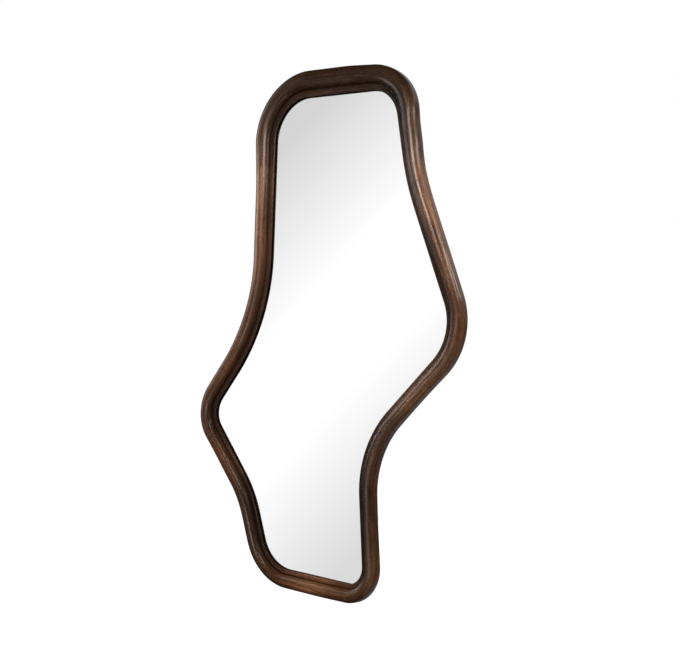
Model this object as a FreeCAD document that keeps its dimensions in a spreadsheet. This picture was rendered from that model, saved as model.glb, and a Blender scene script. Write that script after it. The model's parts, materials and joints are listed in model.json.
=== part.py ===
"""A wavy wall mirror in a solid wood frame.

Millimetres, +Z up, the viewer on the -Y side and the wall at Y = 0. The origin is on the wall, at the
middle of the mirror's outline. A level is a distance in front of the wall. The frame is ten shaped
lengths of wood, dowelled end to end. The glass lies in a rabbet behind the frame's lip, and a board
screwed into a recess holds it there. Two strap hangers with swinging rings sit in pockets in the back.
"""
import FreeCAD, Part
import Sketcher
import math
import os
from collections import namedtuple

Vector = FreeCAD.Vector
Rotation = FreeCAD.Rotation
Placement = FreeCAD.Placement

FRONT = Vector(0, -1, 0)
HORIZONTAL = Vector(1, 0, 0)
UP = Vector(0, 0, 1)
ORIGIN = Vector(0, 0, 0)

doc = FreeCAD.newDocument("wavy_mirror")

# Driving sizes, in millimetres, with counts and degrees where the name says so
SIZES = [
    # the outline of the glass that shows, and the frame's face at mid height
    ("sight_width", 674),
    ("sight_height", 1106),
    ("mid_face_width", 48),
    # the frame's cross-section
    ("lip_width", 13.5),
    ("lip_edge_thickness", 2.4),
    ("lip_crown", 1.4),
    ("groove_height", 3.2),
    ("bead_rise", 14.5),
    ("back_round", 6),
    ("rabbet_width", 9),
    ("board_recess_width", 19),
    ("board_recess_depth", 6),
    # glass, board and what packs them
    ("glass_thickness", 4),
    ("glass_edge_gap", 2),
    ("tape_thickness", 0.6),
    ("tape_width", 5),
    ("spacer_thickness", 3),
    ("spacer_width", 18),
    ("cross_spacer_length", 150),
    ("strip_gap", 12),
    ("board_thickness", 5),
    ("board_edge_gap", 0.8),
    ("block_length", 25),
    ("block_clearance", 0.15),
    # dowels
    ("dowel_diameter", 8),
    ("dowel_length", 40),
    ("dowel_chamfer", 1),
    ("dowel_pitch", 12),
    ("dowel_back_cover", 6),
    ("dowel_clearance", 0.1),
    # board screws, and what every hole for a dowel or a screw has at its end
    ("board_screw_diameter", 3.5),
    ("board_screw_length", 12),
    ("board_screw_head_diameter", 7),
    ("board_screw_head_height", 1.6),
    ("screw_clearance", 0.05),
    ("hole_spare", 1),
    ("screw_tip_length", 3),
    ("driver_slot_width", 0.9),
    ("driver_slot_depth", 0.8),
    # hangers
    ("hanger_height", 275),
    ("ring_wire_diameter", 2.5),
    ("ring_inside_width", 12),
    ("ring_inside_height", 11),
    ("ring_bore_clearance", 0.05),
    ("ring_strap_gap", 0.4),
    ("ring_side_gap", 1),
    ("strap_thickness", 1.5),
    ("strap_length", 38),
    ("strap_screw_reach", 13),
    ("strap_screw_diameter", 3.5),
    ("strap_screw_length", 14),
    ("pocket_depth", 4.5),
    ("pocket_gap", 0.7),
    ("pocket_corner_radius", 3),
    # wall bumpers
    ("bumper_thickness", 3),
    ("bumper_diameter", 11),
    ("bumper_chamfer", 0.6),
    # how the solids are built
    ("overrun", 10),
    ("station_pitch", 24),
    ("station_turn_degrees", 15),
]

sheet = doc.addObject("Spreadsheet::Sheet", "Sizes")
for row, (name, value) in enumerate(SIZES, start=1):
    sheet.set("A%d" % row, name)
    sheet.set("B%d" % row, str(value))
    sheet.setAlias("B%d" % row, name)
doc.recompute()


def size(name):
    """A driving size from the sheet."""
    return float(sheet.get(name))


# The corners of the outline of the glass that shows, clockwise as the viewer sees them. Places are shares
# of the sight width and height from the middle, and radii are shares of the sight height. The frame's
# face widths, at the corner and in the middle of the straight after it, are shares of the face width at
# mid height. The joint is a share of that straight, high on the left so that its dowels clear the hanger.
CORNER_SHARES = [
    # name, across, up, radius, face at the corner, face after it, joint after it
    ("top_left", -0.206, 0.503, 0.083, 1.31, 1.30, 0.5),
    ("top_right", 0.313, 0.462, 0.076, 1.16, 1.03, 0.5),
    ("right_waist", 0.359, 0.266, 0.580, 0.96, 0.94, 0.5),
    ("right_bulge", 0.536, -0.039, 0.098, 0.91, 0.85, 0.5),
    ("right_lower", 0.157, -0.242, 0.205, 0.88, 0.83, 0.5),
    ("bottom_right", 0.179, -0.514, 0.034, 0.84, 0.87, 0.5),
    ("bottom_left", -0.234, -0.489, 0.086, 0.86, 0.91, 0.5),
    ("left_lower", -0.312, -0.336, 0.270, 0.92, 0.95, 0.5),
    ("left_bulge", -0.521, -0.166, 0.046, 1.00, 1.02, 0.5),
    ("left_waist", -0.240, 0.024, 0.400, 1.04, 1.09, 0.78),
]

MIDDLE_SHARE = 0.5
BOARD_SCREW_SHARES = (0.25, 0.75)  # where the board's screws go along each length of frame
BLOCK_SHARES = (0.25, 0.75)  # where the setting blocks go along a straight
BLOCK_CORNERS = ("top_left", "top_right", "bottom_right", "left_waist")  # the straights that have them
BUMPER_CORNERS = ("top_left", "top_right", "bottom_right", "bottom_left")
CROSS_SPACER_SHARES = [
    # across and up, as shares of the sight width and height
    (0.08, 0.26),
    (0.02, -0.08),
    (-0.06, -0.34),
]
QUARTER_ROUND_SHARE = 0.5523  # handle length that makes a cubic curve follow a quarter round
BISECTION_STEPS = 50

# Levels in front of the wall
BACK_LEVEL = size("bumper_thickness")
LEDGE_LEVEL = BACK_LEVEL + size("board_recess_depth")
GLASS_BACK_LEVEL = LEDGE_LEVEL + size("spacer_thickness")
GLASS_FRONT_LEVEL = GLASS_BACK_LEVEL + size("glass_thickness")
LIP_BACK_LEVEL = GLASS_FRONT_LEVEL + size("tape_thickness")
LIP_EDGE_LEVEL = LIP_BACK_LEVEL + size("lip_edge_thickness")
GROOVE_LEVEL = LIP_BACK_LEVEL + size("groove_height")
CREST_LEVEL = GROOVE_LEVEL + size("bead_rise")
BOARD_BACK_LEVEL = LEDGE_LEVEL - size("board_thickness")

CORNER_FIELDS = "name start end centre radius outward_turn start_angle turn face next_face joint"
Corner = namedtuple("Corner", CORNER_FIELDS)
Piece = namedtuple("Piece", "start_run length corner_index is_arc")
Place = namedtuple("Place", "point outward along face")


def find_corners():
    """Round each corner of the sight outline with an arc that meets the two straights."""
    points = []
    for name, across, up, *others in CORNER_SHARES:
        points.append(Vector(across * size("sight_width"), 0, up * size("sight_height")))
    corners = []
    for index, shares in enumerate(CORNER_SHARES):
        name, across, up, radius_share, face_share, next_face_share, joint = shares
        here = points[index]
        before = points[index - 1]
        after = points[(index + 1) % len(points)]
        radius = radius_share * size("sight_height")
        arriving = (here - before).normalize()
        leaving = (after - here).normalize()
        turn = math.atan2(arriving.x * leaving.z - arriving.z * leaving.x, arriving.dot(leaving))
        reach = radius * math.tan(abs(turn) / 2)
        start = here - arriving * reach
        end = here + leaving * reach
        outward = Vector(-arriving.z, 0, arriving.x)
        bulges_out = 1 if turn < 0 else -1
        centre = start - outward * (radius * bulges_out)
        start_angle = math.atan2(start.z - centre.z, start.x - centre.x)
        face = face_share * size("mid_face_width")
        next_face = next_face_share * size("mid_face_width")
        arc = (start, end, centre, radius, bulges_out, start_angle, turn)
        corners.append(Corner(name, *arc, face, next_face, joint))
    return corners


CORNERS = find_corners()


def find_pieces():
    """The outline's arcs and straights in turn, each with the run at which it starts."""
    pieces = []
    run = 0.0
    for index, corner in enumerate(CORNERS):
        arc_length = corner.radius * abs(corner.turn)
        pieces.append(Piece(run, arc_length, index, True))
        run += arc_length
        following = CORNERS[(index + 1) % len(CORNERS)]
        straight_length = (following.start - corner.end).Length
        pieces.append(Piece(run, straight_length, index, False))
        run += straight_length
    return pieces, run


PIECES, OUTLINE_LENGTH = find_pieces()


def arc_piece(index):
    return PIECES[2 * (index % len(CORNERS))]


def straight_piece(index):
    return PIECES[2 * (index % len(CORNERS)) + 1]


def mid_arc_run(index):
    """The run at the middle of a corner's arc, counted on past one lap or before the first."""
    piece = arc_piece(index)
    laps = index // len(CORNERS)
    return piece.start_run + piece.length * MIDDLE_SHARE + laps * OUTLINE_LENGTH


def straight_run(index, share):
    """The run at a share of the straight after a corner, counted in laps as for the arcs."""
    piece = straight_piece(index)
    laps = index // len(CORNERS)
    return piece.start_run + piece.length * share + laps * OUTLINE_LENGTH


def joint_run(index):
    """The run at the joint between a corner's length of frame and the next one's."""
    return straight_run(index, CORNERS[index % len(CORNERS)].joint)


def find_faces():
    """The frame's face width at each arc's and straight's middle, over a little more than one lap."""
    faces = []
    for index in range(-1, len(CORNERS) + 2):
        corner = CORNERS[index % len(CORNERS)]
        faces.append((mid_arc_run(index), corner.face))
        faces.append((straight_run(index, MIDDLE_SHARE), corner.next_face))
    return faces


FACES = find_faces()


def face_at(run):
    """The frame's face width, eased from each arc's or straight's middle to the next."""
    for (low, face), (high, next_face) in zip(FACES, FACES[1:]):
        if low <= run <= high:
            ease = (1 - math.cos(math.pi * (run - low) / (high - low))) / 2
            return face + (next_face - face) * ease
    raise ValueError("no such run")


def place_at(run):
    """The point, outward direction and travel at a run along the sight outline."""
    wrapped = run % OUTLINE_LENGTH
    for piece in PIECES:
        if wrapped <= piece.start_run + piece.length:
            break
    corner = CORNERS[piece.corner_index]
    if piece.is_arc:
        angle = corner.start_angle + corner.turn * (wrapped - piece.start_run) / piece.length
        spoke = Vector(math.cos(angle), 0, math.sin(angle))
        point = corner.centre + spoke * corner.radius
        outward = spoke * corner.outward_turn
        along = Vector(outward.z, 0, -outward.x)
    else:
        following = CORNERS[(piece.corner_index + 1) % len(CORNERS)]
        along = (following.start - corner.end).normalize()
        point = corner.end + along * (wrapped - piece.start_run)
        outward = Vector(-along.z, 0, along.x)
    return Place(point, outward, along, face_at(run))


def offset_edges(offset):
    """The sight outline moved outward by an offset, as arcs and straight edges on the wall plane."""
    edges = []
    for index, corner in enumerate(CORNERS):
        radius = corner.radius + offset * corner.outward_turn
        angles = [corner.start_angle + corner.turn * share for share in (0, 0.5, 1)]
        arc_points = [corner.centre + Vector(math.cos(a), 0, math.sin(a)) * radius for a in angles]
        following = CORNERS[(index + 1) % len(CORNERS)]
        next_radius = following.radius + offset * following.outward_turn
        next_spoke = Vector(math.cos(following.start_angle), 0, math.sin(following.start_angle))
        edges.append(Part.Arc(*arc_points))
        edges.append(Part.LineSegment(arc_points[-1], following.centre + next_spoke * next_radius))
    return edges


def offset_face(offset, level):
    wire = Part.Wire([edge.toShape() for edge in offset_edges(offset)])
    face = Part.Face(wire)
    face.translate(FRONT * level)
    return face


def quarter_round(start, corner, end):
    """A cubic curve that rounds the corner between two points like a quarter of an ellipse."""
    curve = Part.BezierCurve()
    handle_in = start + (corner - start) * QUARTER_ROUND_SHARE
    handle_out = end + (corner - end) * QUARTER_ROUND_SHARE
    curve.setPoles([start, handle_in, handle_out, end])
    return curve.toShape()


def section(place):
    """The frame's cross-section at a place: lip, groove, bead, side, back, recess and rabbet."""
    face = place.face
    lip = size("lip_width") * face / size("mid_face_width")
    crest = (lip + face) / 2
    side = face - size("back_round")
    round_level = BACK_LEVEL + size("back_round")
    recess = size("board_recess_width")
    rabbet = size("rabbet_width")

    def at(outward, level):
        return place.point + place.outward * outward + FRONT * level

    lip_curve = Part.BezierCurve()
    lip_curve.setPoles([
        at(0, LIP_EDGE_LEVEL),
        at(0, LIP_EDGE_LEVEL + size("lip_crown")),
        at(lip / 2, LIP_EDGE_LEVEL + size("lip_crown") * 2),
        at(lip, GROOVE_LEVEL),
    ])
    corners = [
        at(face, round_level),
        at(side, BACK_LEVEL),
        at(recess, BACK_LEVEL),
        at(recess, LEDGE_LEVEL),
        at(rabbet, LEDGE_LEVEL),
        at(rabbet, LIP_BACK_LEVEL),
        at(0, LIP_BACK_LEVEL),
        at(0, LIP_EDGE_LEVEL),
    ]
    edges = [
        lip_curve.toShape(),
        quarter_round(at(lip, GROOVE_LEVEL), at(lip, CREST_LEVEL), at(crest, CREST_LEVEL)),
        quarter_round(at(crest, CREST_LEVEL), at(face, CREST_LEVEL), at(face, GROOVE_LEVEL)),
        Part.makeLine(at(face, GROOVE_LEVEL), corners[0]),
        quarter_round(corners[0], at(face, BACK_LEVEL), corners[1]),
    ]
    for start, end in zip(corners[1:], corners[2:]):
        edges.append(Part.makeLine(start, end))
    return Part.Wire(edges)


def station_pitch(index):
    """The distance between a length of frame's sections, smaller where its corner is tight."""
    tight_pitch = CORNERS[index].radius * math.radians(size("station_turn_degrees"))
    return min(size("station_pitch"), tight_pitch)


def station_runs(index):
    """The runs of a length of frame's sections, evenly spaced, with one past the joint at each end."""
    first = joint_run(index - 1)
    last = joint_run(index)
    steps = math.ceil((last - first) / station_pitch(index))
    return [first + (last - first) * step / steps for step in range(-1, steps + 2)]


def oriented(place, outward, level):
    """A placement with X outward, Y back along the outline and Z to the front."""
    base = place.point + place.outward * outward + FRONT * level
    turn = Rotation(place.outward, -place.along, FRONT, "ZXY")
    return Placement(base, turn)


def end_waste(run, heading):
    """The block that trims the end of a length of frame at its joint."""
    place = place_at(run)
    margin = size("overrun")
    length = size("station_pitch") + margin
    width = place.face + 2 * margin
    depth = CREST_LEVEL + 2 * margin
    block = Part.makeBox(width, length, depth, Vector(-margin, 0, -margin))
    if heading > 0:
        block.translate(Vector(0, -length, 0))
    block.Placement = oriented(place, 0, 0).multiply(block.Placement)
    return block


def dowel_centres(index):
    """The two dowels at a joint: outward distance and level of each."""
    place = place_at(joint_run(index))
    outward = (size("board_recess_width") + place.face) / 2
    level = BACK_LEVEL + size("dowel_back_cover") + size("dowel_diameter") / 2
    return place, [(outward, level), (outward, level + size("dowel_pitch"))]


def dowel_shapes(index, radius, length, chamfer):
    """Cylinders centred on a joint, one for each of its dowels."""
    place, centres = dowel_centres(index)
    shapes = []
    for outward, level in centres:
        centre = place.point + place.outward * outward + FRONT * level
        cylinder = Part.makeCylinder(radius, length, centre - place.along * (length / 2), place.along)
        if chamfer > 0:
            rims = [edge for edge in cylinder.Edges if edge.Curve.TypeId == "Part::GeomCircle"]
            cylinder = cylinder.makeChamfer(chamfer, rims)
        shapes.append(cylinder)
    return shapes


def board_screw_places(index):
    """Where a length of frame takes the board's screws."""
    first = joint_run(index - 1)
    last = joint_run(index)
    return [place_at(first + (last - first) * share) for share in BOARD_SCREW_SHARES]


def board_screw_base(place):
    outward = (size("rabbet_width") + size("board_recess_width")) / 2
    return place.point + place.outward * outward + FRONT * BOARD_BACK_LEVEL


# Hanger sizes that follow from the ring
WIRE_RADIUS = size("ring_wire_diameter") / 2
RING_HALF_WIDTH = size("ring_inside_width") / 2 + WIRE_RADIUS
RING_REACH = size("ring_inside_height") + 3 * WIRE_RADIUS
STRAP_WIDTH = size("ring_inside_width") - 2 * size("ring_side_gap")
KNUCKLE_BORE = WIRE_RADIUS + size("ring_bore_clearance")
AXIS_TO_STRAP = WIRE_RADIUS + size("ring_strap_gap")
POCKET_LEVEL = BACK_LEVEL + size("pocket_depth")
AXIS_LEVEL = POCKET_LEVEL - size("strap_thickness") - AXIS_TO_STRAP
FIRST_SCREW_DROP = RING_REACH + size("strap_screw_diameter") + size("pocket_gap")
SCREW_DROPS = (FIRST_SCREW_DROP, FIRST_SCREW_DROP + size("strap_screw_reach"))


def mid_back(place):
    """The middle of the frame's flat back at a place."""
    outward = (size("board_recess_width") + place.face - size("back_round")) / 2
    return place.point + place.outward * outward


def hanger_place(index):
    """The place on a corner's length of frame where the middle of its back is at the hangers' height."""
    low = joint_run(index - 1)
    high = joint_run(index)
    rises = place_at(high).point.z > place_at(low).point.z
    for step in range(BISECTION_STEPS):
        middle = (low + high) / 2
        above = mid_back(place_at(middle)).z > size("hanger_height")
        if above == rises:
            high = middle
        else:
            low = middle
    return place_at(low)


def hanger_placement(index):
    """The hanger's own frame: X along its hinge, Z up the bar, Y to the wall, origin on the hinge."""
    place = hanger_place(index)
    base = mid_back(place) + FRONT * AXIS_LEVEL
    up_the_bar = place.along if place.along.z > 0 else -place.along
    tilt = math.degrees(math.atan2(up_the_bar.x, up_the_bar.z))
    return Placement(base, Rotation(Vector(0, 1, 0), tilt))


def hanger_pocket(index):
    """The routed pocket that takes a hanger, with its ring turned down or up."""
    half_width = RING_HALF_WIDTH + WIRE_RADIUS + size("pocket_gap")
    bottom = -size("strap_length") - size("pocket_gap")
    top = RING_REACH + size("pocket_gap")
    depth = size("pocket_depth") + size("overrun")
    front = -(POCKET_LEVEL - AXIS_LEVEL)
    pocket = Part.makeBox(2 * half_width, depth, top - bottom, Vector(-half_width, front, bottom))
    uprights = [edge for edge in pocket.Edges if edge.BoundBox.YLength > depth / 2]
    pocket = pocket.makeFillet(size("pocket_corner_radius"), uprights)
    pocket.Placement = hanger_placement(index).multiply(pocket.Placement)
    return pocket


def screw_shape(diameter, length, head_diameter, head_height, flat_top):
    """A wood screw along +Z from the underside of its head, with a cross slot in the head."""
    radius = diameter / 2
    tip = size("screw_tip_length")
    shank = Part.makeCylinder(radius, length - tip)
    point = Part.makeCone(radius, 0, tip, Vector(0, 0, length - tip))
    if flat_top:
        head = Part.makeCone(head_diameter / 2, radius, head_height)
        top = 0.0
    else:
        head = Part.makeCylinder(head_diameter / 2, head_height, Vector(0, 0, -head_height))
        rim = [edge for edge in head.Edges if edge.isClosed() and edge.BoundBox.ZMax < -head_height / 2]
        head = head.makeFillet(head_height / 2, rim)
        top = -head_height
    screw = shank.fuse([point, head]).removeSplitter()
    for angle in (0, 90):
        slot_length = head_diameter / 2
        slot = Part.makeBox(slot_length, size("driver_slot_width"), size("driver_slot_depth"),
                            Vector(-slot_length / 2, -size("driver_slot_width") / 2, top))
        slot.rotate(ORIGIN, UP, angle)
        screw = screw.cut(slot)
    return screw


def placed(shape, placement):
    copy = shape.copy()
    copy.Placement = placement
    return copy


def add_shape(name, shape):
    """A sub-part whose shape is worked out here from the sheet's sizes."""
    feature = doc.addObject("Part::Feature", name)
    feature.Label = name
    feature.Shape = shape
    feature.Placement = Placement()
    return feature


def to_the_front():
    """The turn that points a shape's +Z to the front."""
    return Rotation(UP, FRONT)


def make_frame_length(index):
    """One shaped length of the frame, with its dowel holes, screw holes and any hanger pocket."""
    wires = [section(place_at(run)) for run in station_runs(index)]
    wood = Part.makeLoft(wires, True, False)
    cutters = [end_waste(joint_run(index - 1), -1), end_waste(joint_run(index), 1)]
    hole_radius = size("dowel_diameter") / 2 + size("dowel_clearance")
    hole_length = size("dowel_length") + 2 * size("hole_spare")
    cutters += dowel_shapes(index - 1, hole_radius, hole_length, 0)
    cutters += dowel_shapes(index, hole_radius, hole_length, 0)
    screw_hole_radius = size("board_screw_diameter") / 2 + size("screw_clearance")
    screw_hole_length = size("board_screw_length") + size("hole_spare")
    for place in board_screw_places(index):
        base = board_screw_base(place)
        cutters.append(Part.makeCylinder(screw_hole_radius, screw_hole_length, base, FRONT))
    if index in HANGER_INDEXES.values():
        cutters.append(hanger_pocket(index))
        strap_hole_radius = size("strap_screw_diameter") / 2 + size("screw_clearance")
        strap_hole_length = size("strap_screw_length") + size("hole_spare")
        for drop in SCREW_DROPS:
            base = hanger_placement(index).multVec(Vector(0, -AXIS_TO_STRAP, -drop))
            cutters.append(Part.makeCylinder(strap_hole_radius, strap_hole_length, base, FRONT))
    return add_shape("frame_" + CORNERS[index].name, wood.cut(cutters))


def strip_ring(inner_offset, outer_offset, level, thickness):
    """A flat strip that follows the outline, parted by a gap at each joint of the frame."""
    ring = offset_face(outer_offset, level).cut(offset_face(inner_offset, level))
    ring = ring.extrude(FRONT * thickness)
    margin = size("overrun")
    reach = outer_offset - inner_offset + 2 * margin
    depth = thickness + 2 * margin
    gaps = []
    for index in range(len(CORNERS)):
        gap = Part.makeBox(reach, size("strip_gap"), depth, Vector(0, -size("strip_gap") / 2, 0))
        spot = oriented(place_at(joint_run(index)), inner_offset - margin, level - margin)
        gap.Placement = spot.multiply(gap.Placement)
        gaps.append(gap)
    return ring.cut(gaps)


def add_body(name):
    body = doc.addObject("PartDesign::Body", name)
    body.Label = name
    return body


def add_sketch(body, name, role, offset="0"):
    """A sketch on one of a body's own planes, moved along the plane's normal by an expression."""
    sketch = body.newObject("Sketcher::SketchObject", name)
    plane = [feature for feature in body.Origin.OriginFeatures if feature.Role == role][0]
    sketch.AttachmentSupport = [(plane, "")]
    sketch.MapMode = "FlatFace"
    sketch.setExpression("AttachmentOffset.Base.z", offset)
    return sketch


def flat(point):
    """A point of the wall plane in a sketch's own coordinates."""
    return Vector(point.x, point.z, 0)


def draw_outline(sketch, offset):
    """Draw the sight outline, moved outward by an offset, and fix it in the sketch."""
    for edge in offset_edges(offset):
        if isinstance(edge, Part.LineSegment):
            geometry = Part.LineSegment(flat(edge.StartPoint), flat(edge.EndPoint))
        else:
            shape = edge.toShape()
            middle = shape.valueAt((shape.FirstParameter + shape.LastParameter) / 2)
            geometry = Part.Arc(flat(edge.StartPoint), flat(middle), flat(edge.EndPoint))
        number = sketch.addGeometry(geometry, False)
        sketch.addConstraint(Sketcher.Constraint("Block", number))


def draw_circle(sketch, x, y, radius_expression):
    """Draw a circle with its centre fixed and its radius bound to the sheet."""
    start_radius = size("overrun")
    number = sketch.addGeometry(Part.Circle(Vector(x, y, 0), Vector(0, 0, 1), start_radius), False)
    sketch.addConstraint(Sketcher.Constraint("DistanceX", -1, 1, number, 3, x))
    sketch.addConstraint(Sketcher.Constraint("DistanceY", -1, 1, number, 3, y))
    radius = sketch.addConstraint(Sketcher.Constraint("Radius", number, start_radius))
    sketch.setExpression("Constraints[%d]" % radius, radius_expression)


def add_pad(body, name, sketch, length_expression, midplane=False):
    pad = body.newObject("PartDesign::Pad", name)
    pad.Profile = sketch
    pad.setExpression("Length", length_expression)
    if midplane:
        pad.SideType = "Symmetric"
    doc.recompute()
    return pad


def add_pocket(body, name, sketch, length_expression, midplane=False):
    """A pocket, checked to have taken wood or metal away."""
    before = body.Shape.Volume
    pocket = body.newObject("PartDesign::Pocket", name)
    pocket.Profile = sketch
    pocket.setExpression("Length", length_expression)
    if midplane:
        pocket.SideType = "Symmetric"
    doc.recompute()
    if body.Shape.Volume >= before:
        raise ValueError("%s cuts nothing" % name)
    return pocket


# The frame's ten lengths and the dowels that join them
CORNER_NAMES = [corner.name for corner in CORNERS]
HANGER_INDEXES = {"right": CORNER_NAMES.index("right_waist"), "left": CORNER_NAMES.index("left_waist")}
parts = [make_frame_length(index) for index in range(len(CORNERS))]

dowels = []
for index in range(len(CORNERS)):
    dowels += dowel_shapes(index, size("dowel_diameter") / 2, size("dowel_length"), size("dowel_chamfer"))
parts.append(add_shape("joint_dowels", Part.makeCompound(dowels)))

# The mirror glass
glass = add_body("mirror_glass")
glass_sketch = add_sketch(glass, "glass_outline", "XZ_Plane",
                          "Sizes.bumper_thickness + Sizes.board_recess_depth + Sizes.spacer_thickness")
draw_outline(glass_sketch, size("rabbet_width") - size("glass_edge_gap"))
add_pad(glass, "glass_pad", glass_sketch, "Sizes.glass_thickness")
parts.append(glass)

# Tape between the lip and the glass, and foam between the glass and the board
glass_edge = size("rabbet_width") - size("glass_edge_gap")
tape_start = (glass_edge - size("tape_width")) / 2
tape = strip_ring(tape_start, tape_start + size("tape_width"), GLASS_FRONT_LEVEL, size("tape_thickness"))
parts.append(add_shape("glazing_tape", tape))

spacer_start = glass_edge - size("spacer_width")
spacers = strip_ring(spacer_start, glass_edge, LEDGE_LEVEL, size("spacer_thickness"))
cross_spacers = []
for across, up in CROSS_SPACER_SHARES:
    left = across * size("sight_width") - size("cross_spacer_length") / 2
    bottom = up * size("sight_height") - size("spacer_width") / 2
    sides = (size("cross_spacer_length"), size("spacer_thickness"), size("spacer_width"))
    cross_spacers.append(Part.makeBox(*sides, Vector(left, -GLASS_BACK_LEVEL, bottom)))
parts.append(add_shape("foam_spacers", Part.makeCompound(spacers.Solids + cross_spacers)))

# Blocks that keep the glass off the frame along the straights
block_width = size("glass_edge_gap") - 2 * size("block_clearance")
block_sides = (block_width, size("block_length"), size("glass_thickness"))
block = Part.makeBox(*block_sides, Vector(size("block_clearance"), -size("block_length") / 2, 0))
blocks = []
for name in BLOCK_CORNERS:
    straight = straight_piece(CORNER_NAMES.index(name))
    for share in BLOCK_SHARES:
        place = place_at(straight.start_run + straight.length * share)
        spot = oriented(place, glass_edge, GLASS_BACK_LEVEL)
        blocks.append(placed(block, spot.multiply(block.Placement)))
parts.append(add_shape("glass_setting_blocks", Part.makeCompound(blocks)))

# The board behind the glass and its screws
board = add_body("backing_board")
board_sketch = add_sketch(board, "board_outline", "XZ_Plane",
                          "Sizes.bumper_thickness + Sizes.board_recess_depth - Sizes.board_thickness")
draw_outline(board_sketch, size("board_recess_width") - size("board_edge_gap"))
add_pad(board, "board_pad", board_sketch, "Sizes.board_thickness")
hole_sketch = add_sketch(board, "board_holes", "XZ_Plane",
                         "Sizes.bumper_thickness + Sizes.board_recess_depth + Sizes.overrun")
board_screws = []
board_screw = screw_shape(size("board_screw_diameter"), size("board_screw_length"),
                          size("board_screw_head_diameter"), size("board_screw_head_height"), False)
for index in range(len(CORNERS)):
    for place in board_screw_places(index):
        base = board_screw_base(place)
        board_screws.append(placed(board_screw, Placement(base, to_the_front())))
        draw_circle(hole_sketch, base.x, base.z, "Sizes.board_screw_diameter / 2 + Sizes.screw_clearance")
add_pocket(board, "board_screw_holes", hole_sketch, "Sizes.board_thickness + 2 * Sizes.overrun")
parts.append(board)
parts.append(add_shape("backing_screws", Part.makeCompound(board_screws)))


def make_strap(side, placement):
    """A strap hanger: a plate with a round end, rolled into a knuckle at the top."""
    strap = add_body("hanger_strap_" + side)
    plate_sketch = add_sketch(strap, "plate_outline_" + side, "XZ_Plane",
                              "Sizes.ring_wire_diameter / 2 + Sizes.ring_strap_gap")
    half = STRAP_WIDTH / 2
    drop = -size("strap_length") + half
    corners = [Vector(-half, drop, 0), Vector(-half, 0, 0), Vector(half, 0, 0), Vector(half, drop, 0)]
    outline = [Part.LineSegment(start, end) for start, end in zip(corners, corners[1:])]
    outline.append(Part.Arc(corners[3], Vector(0, -size("strap_length"), 0), corners[0]))
    for geometry in outline:
        number = plate_sketch.addGeometry(geometry, False)
        plate_sketch.addConstraint(Sketcher.Constraint("Block", number))
    add_pad(strap, "plate_" + side, plate_sketch, "Sizes.strap_thickness")

    knuckle_sketch = add_sketch(strap, "knuckle_outline_" + side, "YZ_Plane")
    bore = "Sizes.ring_wire_diameter / 2 + Sizes.ring_bore_clearance"
    draw_circle(knuckle_sketch, 0, 0, bore + " + Sizes.strap_thickness")
    draw_circle(knuckle_sketch, 0, 0, bore)
    knuckle_length = "Sizes.ring_inside_width - 2 * Sizes.ring_side_gap"
    add_pad(strap, "knuckle_" + side, knuckle_sketch, knuckle_length, True)

    screw_sketch = add_sketch(strap, "strap_holes_" + side, "XZ_Plane")
    for drop in SCREW_DROPS:
        draw_circle(screw_sketch, 0, -drop, "Sizes.strap_screw_diameter / 2 + Sizes.screw_clearance")
    add_pocket(strap, "strap_screw_holes_" + side, screw_sketch, "2 * Sizes.overrun", True)

    drilled = strap.Tip
    rims = []
    for number, edge in enumerate(drilled.Shape.Edges, start=1):
        is_hole = edge.Curve.TypeId == "Part::GeomCircle" and edge.isClosed()
        on_the_back = edge.BoundBox.Center.y > -AXIS_TO_STRAP - size("strap_thickness") / 2
        if is_hole and on_the_back and edge.BoundBox.ZMax < -RING_REACH:
            rims.append("Edge%d" % number)
    countersink = strap.newObject("PartDesign::Chamfer", "countersink_" + side)
    countersink.Base = (drilled, rims)
    countersink.setExpression("Size", "Sizes.strap_thickness - Sizes.screw_clearance")
    strap.Tip = countersink
    doc.recompute()
    strap.Placement = placement
    return strap


def make_ring(side, placement):
    """A closed ring of round wire, hanging down from its straight bar in the knuckle."""
    ring = add_body("hanger_ring_" + side)
    path_sketch = add_sketch(ring, "ring_path_" + side, "XZ_Plane")
    half = RING_HALF_WIDTH
    bottom = -(size("ring_inside_height") + 2 * WIRE_RADIUS)
    small = size("ring_side_gap") + WIRE_RADIUS
    shoulder = small - small * math.sqrt(0.5)
    belly = bottom + half
    path = [
        Part.LineSegment(Vector(0, 0, 0), Vector(half - small, 0, 0)),
        Part.Arc(Vector(half - small, 0, 0), Vector(half - shoulder, -shoulder, 0),
                 Vector(half, -small, 0)),
        Part.LineSegment(Vector(half, -small, 0), Vector(half, belly, 0)),
        Part.Arc(Vector(half, belly, 0), Vector(0, bottom, 0), Vector(-half, belly, 0)),
        Part.LineSegment(Vector(-half, belly, 0), Vector(-half, -small, 0)),
        Part.Arc(Vector(-half, -small, 0), Vector(shoulder - half, -shoulder, 0),
                 Vector(small - half, 0, 0)),
        Part.LineSegment(Vector(small - half, 0, 0), Vector(0, 0, 0)),
    ]
    for geometry in path:
        number = path_sketch.addGeometry(geometry, False)
        path_sketch.addConstraint(Sketcher.Constraint("Block", number))
    wire_sketch = add_sketch(ring, "ring_wire_" + side, "YZ_Plane")
    draw_circle(wire_sketch, 0, 0, "Sizes.ring_wire_diameter / 2")
    doc.recompute()
    pipe = ring.newObject("PartDesign::AdditivePipe", "ring_pipe_" + side)
    pipe.Profile = wire_sketch
    pipe.Spine = path_sketch
    doc.recompute()
    ring.Placement = placement
    return ring


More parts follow.
